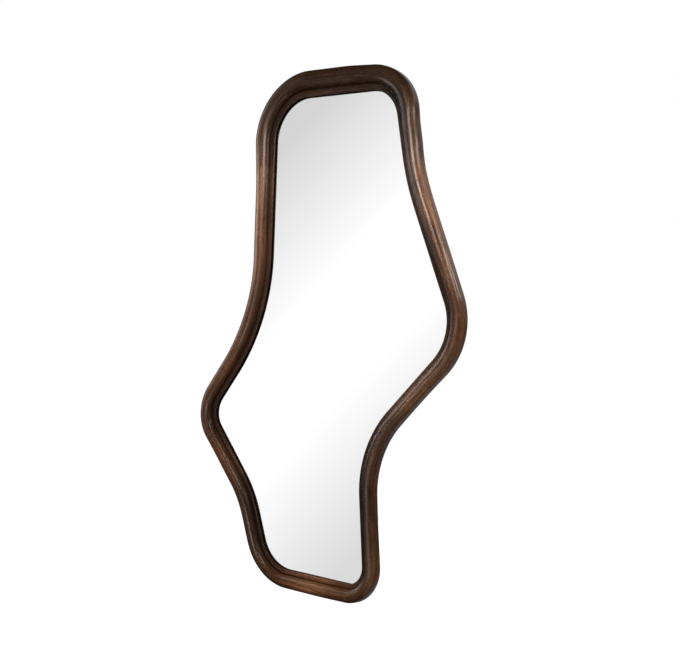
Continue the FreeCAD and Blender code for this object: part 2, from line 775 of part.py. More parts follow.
# The two hangers, their rings and their screws
for side, index in HANGER_INDEXES.items():
    placement = hanger_placement(index)
    parts.append(make_strap(side, placement))
    parts.append(make_ring(side, placement))
    head_height = size("strap_thickness") - 2 * size("screw_clearance")
    strap_screw = screw_shape(size("strap_screw_diameter"), size("strap_screw_length"),
                              size("strap_screw_diameter") + 2 * head_height, head_height, True)
    strap_screws = []
    for drop in SCREW_DROPS:
        base = placement.multVec(Vector(0, -AXIS_TO_STRAP, -drop))
        strap_screws.append(placed(strap_screw, Placement(base, to_the_front())))
    parts.append(add_shape("hanger_screws_" + side, Part.makeCompound(strap_screws)))
    print("hinge", side, placement.Base, placement.Rotation.multVec(HORIZONTAL))

# The bumpers that keep the frame off the wall
for name in BUMPER_CORNERS:
    place = place_at(mid_arc_run(CORNER_NAMES.index(name)))
    bumper = add_body("wall_bumper_" + name)
    bumper_sketch = add_sketch(bumper, "bumper_outline_" + name, "XZ_Plane")
    draw_circle(bumper_sketch, 0, 0, "Sizes.bumper_diameter / 2")
    disc = add_pad(bumper, "bumper_pad_" + name, bumper_sketch, "Sizes.bumper_thickness")
    rims = ["Edge%d" % number for number, edge in enumerate(disc.Shape.Edges, start=1)
            if edge.isClosed() and abs(edge.BoundBox.YMax) < size("bumper_chamfer") / 2]
    chamfer = bumper.newObject("PartDesign::Chamfer", "bumper_chamfer_" + name)
    chamfer.Base = (disc, rims)
    chamfer.setExpression("Size", "Sizes.bumper_chamfer")
    bumper.Tip = chamfer
    doc.recompute()
    bumper.Placement = Placement(mid_back(place), Rotation())
    parts.append(bumper)
    print("bumper", name, bumper.Placement.Base)

doc.recompute()
for item in doc.Objects:
    if "Invalid" in item.State or "Error" in item.State:
        raise ValueError("%s failed: %s" % (item.Label, item.State))
for part in parts:
    if part.Shape.isNull() or not part.Shape.isValid():
        raise ValueError("%s has no valid shape" % part.Label)

os.makedirs("parts", exist_ok=True)
for part in parts:
    part.Shape.exportStep(os.path.join("parts", part.Label + ".step"))
    print(part.Label, len(part.Shape.Solids), round(part.Shape.Volume))
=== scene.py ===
"""Looks for the wavy wall mirror: lacquered walnut, silvered glass, board and hangers in a pale studio.

Metres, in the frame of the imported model: +Z up, the viewer on the -Y side and the wall at Y = 0. A level
is a distance in front of the wall. The frame's lengths are built again here as finely swept bars that
carry the way of the grain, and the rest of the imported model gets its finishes.
"""
import json
import math
from collections import namedtuple

import bmesh
import bpy
import numpy as np
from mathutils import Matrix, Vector
from mathutils.kdtree import KDTree


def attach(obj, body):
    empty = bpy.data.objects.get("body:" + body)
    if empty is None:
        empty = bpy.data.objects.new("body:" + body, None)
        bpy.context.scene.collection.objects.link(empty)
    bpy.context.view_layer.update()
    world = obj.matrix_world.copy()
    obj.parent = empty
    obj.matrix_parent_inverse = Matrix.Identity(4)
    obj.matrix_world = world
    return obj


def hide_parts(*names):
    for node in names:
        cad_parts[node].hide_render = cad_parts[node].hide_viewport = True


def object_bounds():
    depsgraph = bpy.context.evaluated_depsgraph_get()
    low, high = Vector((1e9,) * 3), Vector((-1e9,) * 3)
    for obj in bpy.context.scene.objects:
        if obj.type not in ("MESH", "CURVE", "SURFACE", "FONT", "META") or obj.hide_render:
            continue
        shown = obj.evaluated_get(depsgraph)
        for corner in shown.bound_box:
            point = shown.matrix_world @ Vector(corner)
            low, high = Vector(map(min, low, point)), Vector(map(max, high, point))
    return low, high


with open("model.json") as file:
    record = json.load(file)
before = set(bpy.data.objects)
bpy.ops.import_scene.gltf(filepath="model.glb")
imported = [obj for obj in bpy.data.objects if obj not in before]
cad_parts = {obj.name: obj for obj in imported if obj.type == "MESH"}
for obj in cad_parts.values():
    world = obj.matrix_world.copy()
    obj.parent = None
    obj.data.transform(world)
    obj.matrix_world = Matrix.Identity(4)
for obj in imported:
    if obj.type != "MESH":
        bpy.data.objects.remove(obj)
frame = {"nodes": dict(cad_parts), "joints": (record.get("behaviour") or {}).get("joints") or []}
cad_low, cad_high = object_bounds()

MM = 0.001

# The frame's sizes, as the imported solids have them
SIGHT_WIDTH = 674 * MM
SIGHT_HEIGHT = 1106 * MM
MID_FACE = 48 * MM
LIP_WIDTH = 13.5 * MM
BACK_ROUND = 6 * MM
RABBET = 9 * MM
RECESS = 19 * MM
BACK_LEVEL = 3 * MM
LEDGE_LEVEL = 9 * MM
LIP_BACK_LEVEL = 16.6 * MM
LIP_EDGE_LEVEL = 19.0 * MM
LIP_CROWN = 1.4 * MM
GROOVE_LEVEL = 19.8 * MM
CREST_LEVEL = 34.3 * MM
POCKET_LEVEL = 7.5 * MM
POCKET_HALF_WIDTH = 9.2 * MM
POCKET_TOP = 15.45 * MM
POCKET_BOTTOM = -38.7 * MM
POCKET_CORNER = 3 * MM

# The glass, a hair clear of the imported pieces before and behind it, and the depth of its silver
GLASS_BACK_LEVEL = 12.05 * MM
GLASS_FRONT_LEVEL = 15.95 * MM
GLASS_EDGE = 7 * MM
GLASS_ARRIS = 0.4 * MM
SILVER_DEPTH = 0.02 * MM

# How finely the shapes are divided, and how their sharp edges are eased
STATION_PITCH = 3 * MM
LIP_STEPS = 14
BEAD_STEPS = 16
SIDE_STEPS = 4
BACK_ROUND_STEPS = 8
BACK_FLAT_STEPS = 3
POCKET_CORNER_STEPS = 6
QUARTER_ROUND = 0.5523
EASED_EDGE = 0.4 * MM
EASED_FULLNESS = 0.3
SMOOTH_BELOW = math.radians(38)
CUTTER_OVERRUN = 10 * MM

# Darker in the groove, and painted shade at the back of the lip's edge, next to the glass
GROOVE_DARK_REACH = 3.2 * MM
LIP_PAINTED_SHADE = 0.35
LIP_SHADE_REACH = 1.6 * MM
LIP_EDGE_DEPTH = 1 * MM

# Painted shade on the inner side of the upright bars, which also takes away their lacquer's sheen. Its
# places are shares of the face: where it starts to fade, how much later it does so on the right, and how
# long it takes
SIDE_PAINTED_SHADE = 0.82
SIDE_SHADE_START = 0.28
SIDE_SHADE_LATER = 0.13
SIDE_SHADE_FADE = 0.27

Arc = namedtuple("Arc", "start end centre radius bulge start_angle turn")
Place = namedtuple("Place", "point outward face")
Corner = namedtuple("Corner", "name across up radius face face_after joint_after tone tone_after")

# The corners of the glass that shows. Across is a share of its width, up and radius are shares of its
# height, and face is a share of the middle face. A tone is the strength of the wood's colour: partly the
# boards' own tone, and partly painted shade and painted light for stretches that are darker or lighter by
# how light falls on them. What is after a corner is for the stretch from there to the next one, and the
# joint's place is a share of it.
# The faces at the top left and bottom right are a hair narrower than the imported ones, whose meshes cut
# across the curves, so that the finer curves stay inside their box
CORNERS = [Corner(*row) for row in (
    ("top_left", -0.206, 0.503, 0.083, 1.305, 1.29, 0.5, 0.37, 0.29),
    ("top_right", 0.313, 0.462, 0.076, 1.16, 1.03, 0.5, 0.26, 0.74),
    ("right_waist", 0.359, 0.266, 0.580, 0.96, 0.94, 0.5, 1.34, 1.11),
    ("right_bulge", 0.536, -0.039, 0.098, 0.91, 0.85, 0.5, 0.89, 1.62),
    ("right_lower", 0.157, -0.242, 0.205, 0.88, 0.83, 0.5, 0.57, 0.58),
    ("bottom_right", 0.179, -0.514, 0.034, 0.839, 0.87, 0.5, 1.16, 2.08),
    ("bottom_left", -0.234, -0.489, 0.086, 0.86, 0.91, 0.5, 0.68, 0.59),
    ("left_lower", -0.312, -0.336, 0.270, 0.92, 0.95, 0.5, 0.57, 1.14),
    ("left_bulge", -0.521, -0.166, 0.046, 1.00, 1.02, 0.5, 1.00, 0.97),
    ("left_waist", -0.240, 0.024, 0.400, 1.04, 1.09, 0.78, 1.1, 2.1),
)]

# The walnut's patterns: cycles per metre along the run, outward and forward, then detail and roughness.
# The fibre patterns follow the sway of the grain
SWAY_NOISE = ((5, 16, 16), 2.0, 0.5)
FIBRE_NOISE = {
    "streaks": ((7, 210, 210), 4.0, 0.6),
    "fibres": ((26, 1100, 1100), 3.0, 0.65),
    "pores": ((75, 2400, 2400), 1.0, 0.5),
}
BROAD_NOISE = {
    "wobble": ((9, 60, 60), 2.0, 0.5),
    "patches": ((9, 28, 28), 3.0, 0.55),
    "mottle": ((110, 90, 90), 2.0, 0.6),
    "hue": ((6, 22, 22), 2.0, 0.5),
    "waves": ((38, 70, 70), 2.0, 0.5),
    "handling": ((30, 120, 120), 3.0, 0.6),
}
SWAY_REACH = 0.024
SWAY_DIRECTION = (0, 1, 0.6)

# The growth rings: how many per metre outward and forward, how much they wobble, and how sharp they are
RINGS_OUTWARD = 190
RINGS_FORWARD = 120
RING_WOBBLE = 1.6
RING_SHARPNESS = 1.7

# What makes the walnut's colour: its shade's middle and the shares of the rings and patterns in it, the
# colours along that shade, the tints and colours that go over them, and how far
SHADE_MIDDLE = 0.43
SHADE_OF_RINGS = 0.15
SHADE_SHARES = {"streaks": 0.38, "fibres": 0.26, "patches": 0.36, "mottle": 0.16}
WALNUT_COLOURS = [(0.0, (0.012, 0.0042, 0.002)), (0.3, (0.034, 0.0128, 0.0056)),
                  (0.58, (0.075, 0.031, 0.0143)), (0.82, (0.125, 0.056, 0.025)), (1.0, (0.19, 0.092, 0.042))]
RED_TINT = (1.04, 0.96, 0.88)
OLIVE_TINT = (0.97, 1.04, 0.92)
PORE_COLOUR = (0.006, 0.003, 0.002)
# The next colour darkens the groove and paints shade at the lip's back and on the upright bars' inner side
DARK_AND_SHADE_COLOUR = (0.005, 0.0025, 0.0016)
BARE_COLOUR = (0.1, 0.062, 0.038)
HUE_TURN = (0.4, 0.62)
PORE_EDGE = (0.6, 0.7)
PORE_SHARE = 0.55
# The next share is how far that darkening and painted shade go
DARK_AND_SHADE_SHARE = 0.82
BARE_SHARE = 0.35
RAW_SHARE = 0.6

# The walnut's surface. A bump is a height and a strength, and a roughness is a range of the pattern that
# it follows and the values that it takes there
WAVE_BUMP = (0.0006, 0.5)
FIBRE_BUMP = (0.00005, 0.45)
COAT_BUMP = (0.00005, 0.07)
FIBRE_RELIEF = 0.5
WOOD_ROUGHNESS = (0.3, 0.7, 0.42, 0.6)
WOOD_SPECULAR = 0.12
COAT_ROUGHNESS = (0.3, 0.75, 0.2, 0.31)
RAW_ROUGHNESS = 0.35
COAT_LOST_WHERE_RAW = 0.9
# The next share takes the coat away where the groove is darker and where shade is painted, so no sheen shows
COAT_LOST_IN_DARK_AND_SHADE = 0.8
LACQUER_IOR = 1.5

GLASS_IOR = 1.5
GLASS_TINT = (0.996, 0.999, 0.997)
SILVER_TONES = [(0.3, (0.955, 0.958, 0.955)), (0.7, (0.965, 0.966, 0.966))]

# The photo's view: angles in degrees, and the focal length and the picture's shift in its pixels
CAMERA_AZIMUTH = 40
CAMERA_ELEVATION = -6
CAMERA_DISTANCE = 2.4078
CAMERA_TARGET = Vector((0.0407, -0.016, -0.0209))
PHOTO_WIDTH = 680
FOCAL_PIXELS = 1076
SHIFT_PIXELS = (5, -1)
SENSOR_WIDTH = 36

# Soft panels far off: azimuth, elevation and radius in degrees, and strength
PANELS = [(0, -10, 23, 0.49), (0, 4, 17, 0.87), (60, -55, 40, 0.15), (120, 42, 17, 1.8),
          (-72, 28, 16, 0.4), (-76, 16, 17, 1.4), (185, 25, 45, 0.6), (180, -30, 40, 0.3)]
ROOM_LIGHT = 0.02

# Softboxes near the mirror: azimuth and half angle in degrees, lowest and highest place, radiance
SOFTBOXES = [(-62, 9, 0.29, 0.62, 3.2), (-16, 6, 0.575, 0.655, 2.5), (0, 30, -0.9, -0.6, 0.45),
             (10, 13, 0.575, 0.735, 18.0), (70, 10, 0.36, 0.54, 2.9), (77, 12, 0.58, 0.74, 10.0),
             (108, 8, 0.43, 0.6, 6.5), (-10, 6, -0.34, -0.25, 10.0)]
SOFTBOX_DISTANCE = 1.0
SOFTBOX_COLOUR = (1.0, 0.955, 0.89)

# Large lamps that only bring out the colour of what they light: azimuth, height and power
FILLS = [(62, 0.54, 51), (-60, 0.67, 43), (20, -0.9, 17), (62, 2.2, 87), (-60, -0.6, 24),
         (182, 0.9, 80), (212, -0.3, 50)]
FILL_DISTANCE = 2.55
FILL_SIZE = 1.6

# The graded card that the mirror shows: how much its bands lean, and where its grey rises and falls
# across it, as two places and the greys there. It fades out between two angles from its middle, in
# degrees. Beyond it the grey goes by height. Light that has met more than four surfaces misses the card
CARD_LEAN = 0.95
CARD_RISE = (-0.215, -0.05, 0.69, 1.06)
CARD_FALL = (0.055, 0.215, 1.06, 0.73)
CARD_FADE = (27, 18)
BEYOND_CARD = (-0.5, 0.6, 0.98, 0.72)
LEAST_AHEAD = 0.2
CARD_MOST_SURFACES = 4.5

# The floor, just under the mirror
FLOOR_RADIUS = 30
FLOOR_SIDES = 64
FLOOR_DROP = 4 * MM


# The outline

def find_arcs():
    """The arc that rounds each corner of the outline, in the XZ plane."""
    points = [Vector((corner.across * SIGHT_WIDTH, corner.up * SIGHT_HEIGHT)) for corner in CORNERS]
    arcs = []
    for index, corner in enumerate(CORNERS):
        here = points[index]
        arriving = (here - points[index - 1]).normalized()
        leaving = (points[(index + 1) % len(points)] - here).normalized()
        turn = math.atan2(arriving.x * leaving.y - arriving.y * leaving.x, arriving.dot(leaving))
        radius = corner.radius * SIGHT_HEIGHT
        reach = radius * math.tan(abs(turn) / 2)
        start = here - arriving * reach
        bulge = 1 if turn < 0 else -1
        centre = start - Vector((-arriving.y, arriving.x)) * radius * bulge
        start_angle = math.atan2(start.y - centre.y, start.x - centre.x)
        arcs.append(Arc(start, here + leaving * reach, centre, radius, bulge, start_angle, turn))
    return arcs


ARCS = find_arcs()
COUNT = len(CORNERS)
ARC_LENGTHS = [arc.radius * abs(arc.turn) for arc in ARCS]
STRAIGHT_LENGTHS = [(ARCS[(i + 1) % COUNT].start - ARCS[i].end).length for i in range(COUNT)]
ARC_STARTS = [sum(ARC_LENGTHS[:i]) + sum(STRAIGHT_LENGTHS[:i]) for i in range(COUNT)]
LAP = sum(ARC_LENGTHS) + sum(STRAIGHT_LENGTHS)


def mid_arc_run(index):
    """The run, the distance along the outline, at the middle of a corner's arc."""
    return ARC_STARTS[index % COUNT] + ARC_LENGTHS[index % COUNT] / 2 + index // COUNT * LAP


def straight_run(index, share):
    """The run at a share of the straight after a corner."""
    k = index % COUNT
    return ARC_STARTS[k] + ARC_LENGTHS[k] + STRAIGHT_LENGTHS[k] * share + index // COUNT * LAP


def joint_run(index):
    """The run of the joint after a corner."""
    return straight_run(index, CORNERS[index % COUNT].joint_after)


def spread(field):
    """A value of each corner and of the stretch after it, with the runs that they are for."""
    table = []
    for index in range(-1, COUNT + 2):
        corner = CORNERS[index % COUNT]
        table.append((mid_arc_run(index), getattr(corner, field)))
        table.append((straight_run(index, 0.5), getattr(corner, field + "_after")))
    return table


FACES = [(run, share * MID_FACE) for run, share in spread("face")]
# The tones along the run: partly the boards' own, partly painted shade and painted light
TONES = spread("tone")


def blend_at(table, run):
    """The value of a table at a run, eased from one row to the next."""
    for (low, value), (high, next_value) in zip(table, table[1:]):
        if low <= run <= high:
            return value + (next_value - value) * (1 - math.cos(math.pi * (run - low) / (high - low))) / 2
    raise ValueError("no such run")


def place_at(run):
    """The point on the outline at a run, its outward direction and the face width there."""
    wrapped = run % LAP
    k = max(i for i in range(COUNT) if ARC_STARTS[i] <= wrapped)
    arc = ARCS[k]
    past = wrapped - ARC_STARTS[k]
    face = blend_at(FACES, run)
    if past <= ARC_LENGTHS[k]:
        angle = arc.start_angle + arc.turn * past / ARC_LENGTHS[k]
        spoke = Vector((math.cos(angle), math.sin(angle)))
        return Place(arc.centre + spoke * arc.radius, spoke * arc.bulge, face)
    along = (ARCS[(k + 1) % COUNT].start - arc.end).normalized()
    return Place(arc.end + along * (past - ARC_LENGTHS[k]), Vector((-along.y, along.x)), face)


def spot_at(place, outward, level):
    """The point of the model that lies so far outward of a place of the outline, at a level."""
    spot = place.point + place.outward * outward
    return (spot.x, -level, spot.y)


# The section of the bars

def curve(poles, steps):
    """Points of a cubic curve, without its last one."""
    a, b, c, d = (np.array(pole, float) for pole in poles)
    t = np.arange(steps)[:, None] / steps
    return list(a * (1 - t) ** 3 + 3 * b * t * (1 - t) ** 2 + 3 * c * t ** 2 * (1 - t) + d * t ** 3)


def quarter(start, corner, end, steps):
    """Points of a quarter of an ellipse, without its last one."""
    start, corner, end = (np.array(point, float) for point in (start, corner, end))
    leaving = start + (corner - start) * QUARTER_ROUND
    arriving = end + (corner - end) * QUARTER_ROUND
    return curve([start, leaving, arriving, end], steps)


def line(start, end, steps):
    """Points of a straight line, without its last one."""
    start, end = np.array(start, float), np.array(end, float)
    return [start + (end - start) * step / steps for step in range(steps)]


def eased(corner, before, after):
    """Three points that take the sharpness off a corner."""
    corner, before, after = (np.array(point, float) for point in (corner, before, after))
    to_before = (before - corner) / np.linalg.norm(before - corner) * EASED_EDGE
    to_after = (after - corner) / np.linalg.norm(after - corner) * EASED_EDGE
    return [corner + to_before, corner + (to_before + to_after) * EASED_FULLNESS, corner + to_after]


def groove_dark_and_lip_shade(points, lip):
    """How dark a section's points are made: fully in the groove, and some painted shade at the back of the
    lip's edge.
    """
    from_groove = np.hypot(points[:, 0] - lip, points[:, 1] - GROOVE_LEVEL)
    in_groove = np.exp(-(from_groove / GROOVE_DARK_REACH) ** 2)
    from_lip_back = points[:, 1] - LIP_BACK_LEVEL
    # Painted shade at the back of the lip's edge, next to the glass
    lip_back_shade = LIP_PAINTED_SHADE * np.exp(-(from_lip_back / LIP_SHADE_REACH) ** 2) * (points[:, 0] < LIP_EDGE_DEPTH)
    return np.maximum(in_groove, lip_back_shade)


def section(face):
    """The bar's cross-section at a face width: outward and level of each point, raw wood, and its darkening
    in the groove with painted shade at the lip's back.
    """
    lip = LIP_WIDTH * face / MID_FACE
    crest = (lip + face) / 2
    side = face - BACK_ROUND
    round_level = BACK_LEVEL + BACK_ROUND
    points = curve([(0, LIP_EDGE_LEVEL), (0, LIP_EDGE_LEVEL + LIP_CROWN),
                    (lip / 2, LIP_EDGE_LEVEL + 2 * LIP_CROWN), (lip, GROOVE_LEVEL)], LIP_STEPS)
    points += quarter((lip, GROOVE_LEVEL), (lip, CREST_LEVEL), (crest, CREST_LEVEL), BEAD_STEPS)
    points += quarter((crest, CREST_LEVEL), (face, CREST_LEVEL), (face, GROOVE_LEVEL), BEAD_STEPS)
    points += line((face, GROOVE_LEVEL), (face, round_level), SIDE_STEPS)
    points += quarter((face, round_level), (face, BACK_LEVEL), (side, BACK_LEVEL), BACK_ROUND_STEPS)
    lacquered = len(points)
    corners = [(side, BACK_LEVEL), (RECESS, BACK_LEVEL), (RECESS, LEDGE_LEVEL), (RABBET, LEDGE_LEVEL),
               (RABBET, LIP_BACK_LEVEL), (0, LIP_BACK_LEVEL), (0, LIP_EDGE_LEVEL)]
    points += line(corners[0], corners[1], BACK_FLAT_STEPS)[:-1]
    for before, corner, after in zip(corners, corners[1:], corners[2:]):
        points += eased(corner, before, after)
    points = np.array(points)
    # the last two points are on the lip's edge, which is lacquered again
    raw = np.zeros(len(points))
    raw[lacquered:-2] = 1
    return points, raw, groove_dark_and_lip_shade(points, lip)


def inner_side(points, place):
    """Where shade is painted on the upright bars: 1 on the lip and the groove, falling to 0 before the
    bead's crest, or past it on the right.
    """
    start = SIDE_SHADE_START + SIDE_SHADE_LATER * max(0, place.outward.x)
    share = np.clip((points[:, 0] / place.face - start) / SIDE_SHADE_FADE, 0, 1)
    return 1 - share * share * (3 - 2 * share)


# Making the pieces

def add_mesh(name, verts, faces):
    """A new object from points and faces, its faces turned outward."""
    mesh = bpy.data.meshes.new(name)
    mesh.from_pydata(verts, [], faces)
    work = bmesh.new()
    work.from_mesh(mesh)
    bmesh.ops.recalc_face_normals(work, faces=work.faces)
    work.to_mesh(mesh)
    work.free()
    return add_object(name, mesh)


def add_object(name, data):
    """A new object in the scene, from its mesh, light or camera."""
    piece = bpy.data.objects.new(name, data)
    bpy.context.scene.collection.objects.link(piece)
    return piece


def set_vectors(mesh, name, values):
    """Give each point of a mesh a vector under a name."""
    layer = mesh.attributes.get(name) or mesh.attributes.new(name, "FLOAT_VECTOR", "POINT")
    layer.data.foreach_set("vector", np.asarray(values, np.float32).ravel())


def get_vectors(mesh, name):
    """The vectors that the points of a mesh have under a name."""
    values = np.empty(3 * len(mesh.vertices), np.float32)
    mesh.attributes[name].data.foreach_get("vector", values)
    return values.reshape(-1, 3)


def smooth(mesh):
    """Shade a mesh smooth, apart from its sharp edges."""
    mesh.polygons.foreach_set("use_smooth", [True] * len(mesh.polygons))
    mesh.set_sharp_from_angle(angle=SMOOTH_BELOW)


def make_bar(index):
    """One length of the frame, with the way of its grain at each point, and there its raw wood, its
    darkening in the groove and painted shade, and its tone, partly painted light and shade.
    """
    first, last = joint_run(index - 1), joint_run(index)
    steps = math.ceil((last - first) / STATION_PITCH)
    verts, grain, finish_and_shade = [], [], []
    for step in range(steps + 1):
        run = first + (last - first) * step / steps
        # The tone here is partly the boards' own, partly painted shade and painted light
        place, tone = place_at(run), blend_at(TONES, run)
        points, raw, dark_and_shade = section(place.face)
        # Painted shade on the inner side of the upright bars, strongest where they stand upright
        side_shade = SIDE_PAINTED_SHADE * abs(place.outward.x) * inner_side(points, place) * (1 - raw)
        dark_and_shade = np.maximum(dark_and_shade, side_shade)
        for (outward, level), bare, dark in zip(points, raw, dark_and_shade):
            verts.append(spot_at(place, outward, level))
            grain.append((run, outward, level))
            finish_and_shade.append((bare, dark, tone))
    width = len(points)
    faces = [tuple(range(width)), tuple(steps * width + j for j in reversed(range(width)))]
    for step in range(steps):
        for j in range(width):
            here, beside = step * width + j, step * width + (j + 1) % width
            faces.append((here, here + width, beside + width, beside))
    bar = add_mesh("bar_" + CORNERS[index].name, verts, faces)
    set_vectors(bar.data, "grain", grain)
    set_vectors(bar.data, "finish_and_shade", finish_and_shade)
    return bar


def make_glass():
    """The glass with its ground edges."""
    steps = math.ceil(LAP / STATION_PITCH)
    places = [place_at(LAP * step / steps) for step in range(steps)]
    rings = [(GLASS_EDGE - GLASS_ARRIS, GLASS_BACK_LEVEL), (GLASS_EDGE, GLASS_BACK_LEVEL + GLASS_ARRIS),
             (GLASS_EDGE, GLASS_FRONT_LEVEL - GLASS_ARRIS), (GLASS_EDGE - GLASS_ARRIS, GLASS_FRONT_LEVEL)]
    verts = [spot_at(place, outward, level) for outward, level in rings for place in places]
    last = len(rings) - 1
    faces = [tuple(range(steps)), tuple(range(last * steps, len(rings) * steps))]
    for ring in range(last):
        for step in range(steps):
            here, beside = ring * steps + step, ring * steps + (step + 1) % steps
            faces.append((here, beside, beside + steps, here + steps))
    return add_mesh("glass_pane", verts, faces)


def pocket_outline():
    """The outline of a hanger's pocket about the hinge of its ring, with rounded corners."""
    corners = [(POCKET_HALF_WIDTH, POCKET_TOP), (-POCKET_HALF_WIDTH, POCKET_TOP),
               (-POCKET_HALF_WIDTH, POCKET_BOTTOM), (POCKET_HALF_WIDTH, POCKET_BOTTOM)]
    outline = []
    for index, (x, z) in enumerate(corners):
        centre_x, centre_z = x - math.copysign(POCKET_CORNER, x), z - math.copysign(POCKET_CORNER, z)
        for step in range(POCKET_CORNER_STEPS + 1):
            angle = math.radians(90 * index + 90 / POCKET_CORNER_STEPS * step)
            outline.append((centre_x + POCKET_CORNER * math.cos(angle),
                            centre_z + POCKET_CORNER * math.sin(angle)))
    return outline


def pocket_cutter(joint):
    """The block that takes a hanger's pocket out of its bar, placed by the hinge of its ring."""
    across = Vector(joint["axis"])
    up = Vector((-across.z, 0, across.x))
    outline = pocket_outline()
    verts, grain = [], []
    for y in (CUTTER_OVERRUN, -POCKET_LEVEL):
        for x, z in outline:
            spot = Vector((joint["pos_m"][0], y, joint["pos_m"][2])) + across * x + up * z
            verts.append(spot)
            grain.append((z, x, -y))
    count = len(outline)
    faces = [tuple(range(count)), tuple(reversed(range(count, 2 * count)))]
    faces += [(k, k + count, (k + 1) % count + count, (k + 1) % count) for k in range(count)]
    cutter = add_mesh("pocket", verts, faces)
    set_vectors(cutter.data, "grain", grain)
    set_vectors(cutter.data, "finish_and_shade", [(1, 0, 1)] * len(verts))
    return cutter


def cut(bar, cutter):
    """Take the cutter's shape out of the bar. Each point of the result keeps the grain it had."""
    spots = [vertex.co.copy() for piece in (bar, cutter) for vertex in piece.data.vertices]
    vectors = {name: np.concatenate([get_vectors(piece.data, name) for piece in (bar, cutter)])
               for name in ("grain", "finish_and_shade")}
    tree = KDTree(len(spots))
    for index, spot in enumerate(spots):
        tree.insert(spot, index)
    tree.balance()
    modifier = bar.modifiers.new("pocket", "BOOLEAN")
    modifier.operation = "DIFFERENCE"
    modifier.solver = "EXACT"
    modifier.object = cutter
    evaluated = bar.evaluated_get(bpy.context.evaluated_depsgraph_get())
    mesh = bpy.data.meshes.new_from_object(evaluated)
    bar.modifiers.clear()
    bar.data = mesh
    bpy.data.objects.remove(cutter)
    nearest = [tree.find(vertex.co)[1] for vertex in mesh.vertices]
    for name, values in vectors.items():
        set_vectors(mesh, name, values[nearest])


# Building node materials

class Graph:
    """A node tree that is built up call by call, with sockets or plain values as inputs."""

    # The Mix node's sockets: its share, and the two inputs and the output for numbers and for colours
    MIX_SHARE = 0
    MIX_NUMBERS = (2, 3, 0)
    MIX_COLOURS = (6, 7, 2)

    def __init__(self, tree):
        self.tree = tree
        tree.nodes.clear()

    def add(self, kind, inputs=(), **settings):
        """A new node of a kind, with its settings and inputs."""
        node = self.tree.nodes.new("ShaderNode" + kind)
        for key, value in settings.items():
            setattr(node, key, value)
        for key, value in dict(inputs).items():
            self.give(node.inputs[key], value)
        return node

    def give(self, socket, value):
        """Link a socket to an input, or set a plain value on it."""
        if isinstance(value, bpy.types.NodeSocket):
            self.tree.links.new(value, socket)
        elif socket.type == "RGBA":
            socket.default_value = (*value, 1)
        else:
            socket.default_value = value

    def place(self):
        """The point of the object's own space, in metres."""
        return self.add("TexCoord").outputs["Object"]

    def attribute(self, name):
        """The vector that the mesh has under a name."""
        return self.add("Attribute", attribute_name=name).outputs["Vector"]

    def split(self, vector):
        """The three parts of a vector."""
        return self.add("SeparateXYZ", {0: vector}).outputs

    def math(self, operation, a, b, clamp=False):
        """A calculation with two numbers."""
        return self.add("Math", {0: a, 1: b}, operation=operation, use_clamp=clamp).outputs[0]

    def vector(self, operation, a, b):
        """A calculation with two vectors, or for SCALE with a vector and a number."""
        second = "Scale" if operation == "SCALE" else 1
        node = self.add("VectorMath", {0: a, second: b}, operation=operation)
        return node.outputs["Value" if operation == "DOT_PRODUCT" else "Vector"]

    def noise(self, vector, scale, detail=3.0, roughness=0.5, distortion=0.0):
        """Noise from 0 to 1 with its own scale along each axis."""
        stretched = self.vector("MULTIPLY", vector, scale)
        node = self.add("TexNoise", {"Vector": stretched, "Scale": 1.0, "Detail": detail,
                                     "Roughness": roughness, "Distortion": distortion})
        return node.outputs["Fac"]

    def ramp(self, value, stops):
        """A colour for a number, between stops of a place and a colour."""
        node = self.add("ValToRGB", {"Fac": value})
        elements = node.color_ramp.elements
        while len(elements) < len(stops):
            elements.new(0.5)
        for element, (position, colour) in zip(elements, stops):
            element.position = position
            element.color = (*colour, 1)
        return node.outputs["Color"]

    def mix(self, share, a, b, blend="MIX"):
        """A share of the way from one colour to another."""
        first, second, result = self.MIX_COLOURS
        inputs = {self.MIX_SHARE: share, first: a, second: b}
        return self.add("Mix", inputs, data_type="RGBA", blend_type=blend).outputs[result]

    def mix_numbers(self, share, a, b):
        """A share of the way from one number to another."""
        first, second, result = self.MIX_NUMBERS
        inputs = {self.MIX_SHARE: share, first: a, second: b}
        return self.add("Mix", inputs, data_type="FLOAT").outputs[result]

    def span(self, value, low, high, to_low=0.0, to_high=1.0, kind="SMOOTHSTEP"):
        """A number carried over from one range to another, and held within it."""
        inputs = {"Value": value, "From Min": low, "From Max": high, "To Min": to_low, "To Max": to_high}
        return self.add("MapRange", inputs, interpolation_type=kind).outputs["Result"]

    def bump(self, height, distance, strength, normal=None):
        """A normal that follows small heights, on top of another normal if one is given."""
        inputs = {"Height": height, "Distance": distance, "Strength": strength}
        if normal is not None:
            inputs["Normal"] = normal
        return self.add("Bump", inputs).outputs["Normal"]

    def show(self, shader, output="OutputMaterial"):
        """Make a shader the tree's surface."""
        self.tree.links.new(shader.outputs[0], self.add(output).inputs["Surface"])


def new_material(name):
    """A new material and the graph of its nodes."""
    material = bpy.data.materials.new(name)
    material.use_nodes = True
    return material, Graph(material.node_tree)


def surface(graph, **inputs):
    """Finish a material with one principled shader."""
    named = {key.replace("_", " "): value for key, value in inputs.items()}
    graph.show(graph.add("BsdfPrincipled", named))


# The materials

